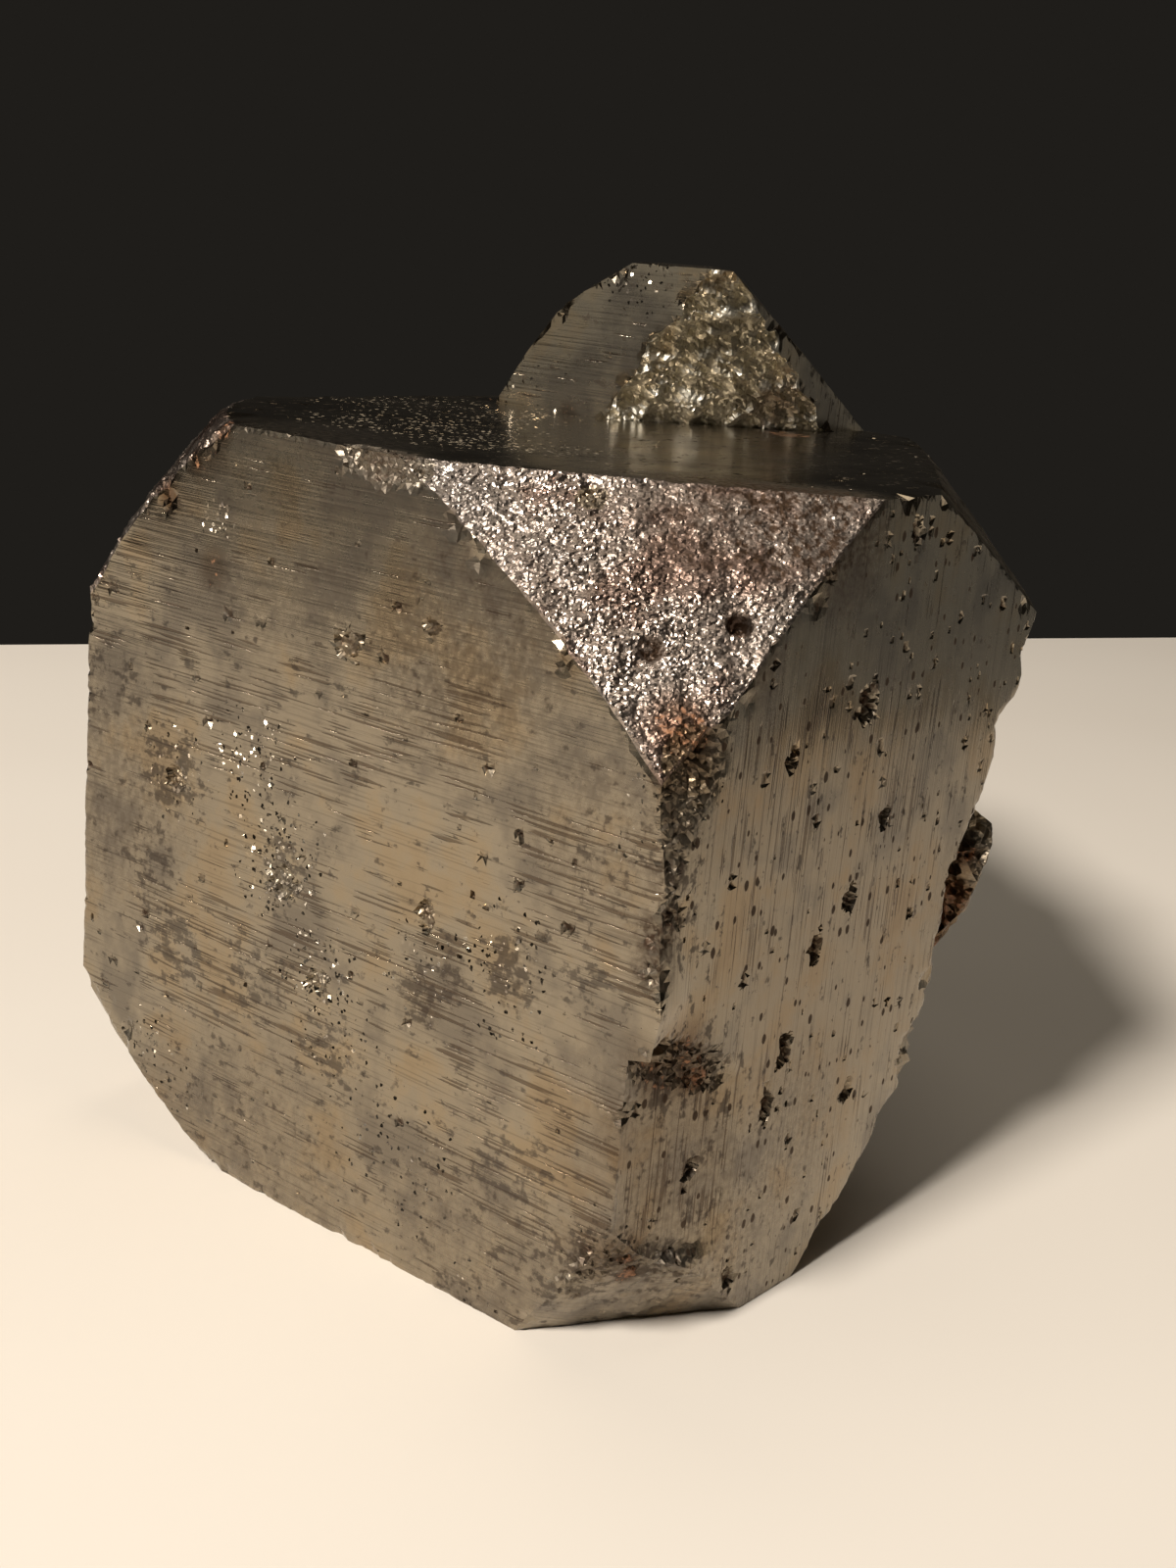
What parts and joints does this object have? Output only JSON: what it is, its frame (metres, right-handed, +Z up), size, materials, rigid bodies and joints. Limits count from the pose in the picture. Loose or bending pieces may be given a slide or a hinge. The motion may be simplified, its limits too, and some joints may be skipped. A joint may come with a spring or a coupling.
{
  "type": "pyrite specimen",
  "caption": "Pyrite crystal group: a large striated cube with cut corners, and a smaller crystal grown into its top.",
  "frame": {"origin": "under the middle of the group's bounding box, at the height of the face it rests on", "axes": "+Z up, square to the resting face; +Y from the large front cube face to the back; +X to the right, square to the large right cube face"},
  "size_m": [0.0802, 0.0926, 0.0924],
  "materials": {
    "pyrite": "natural metallic mineral, grey brass colour, satin faces with fine growth lines, glittering where it is grainy"
  },
  "bodies": {
    "root": {"pyrite_crystals": "pyrite"}
  },
  "joints": []
}
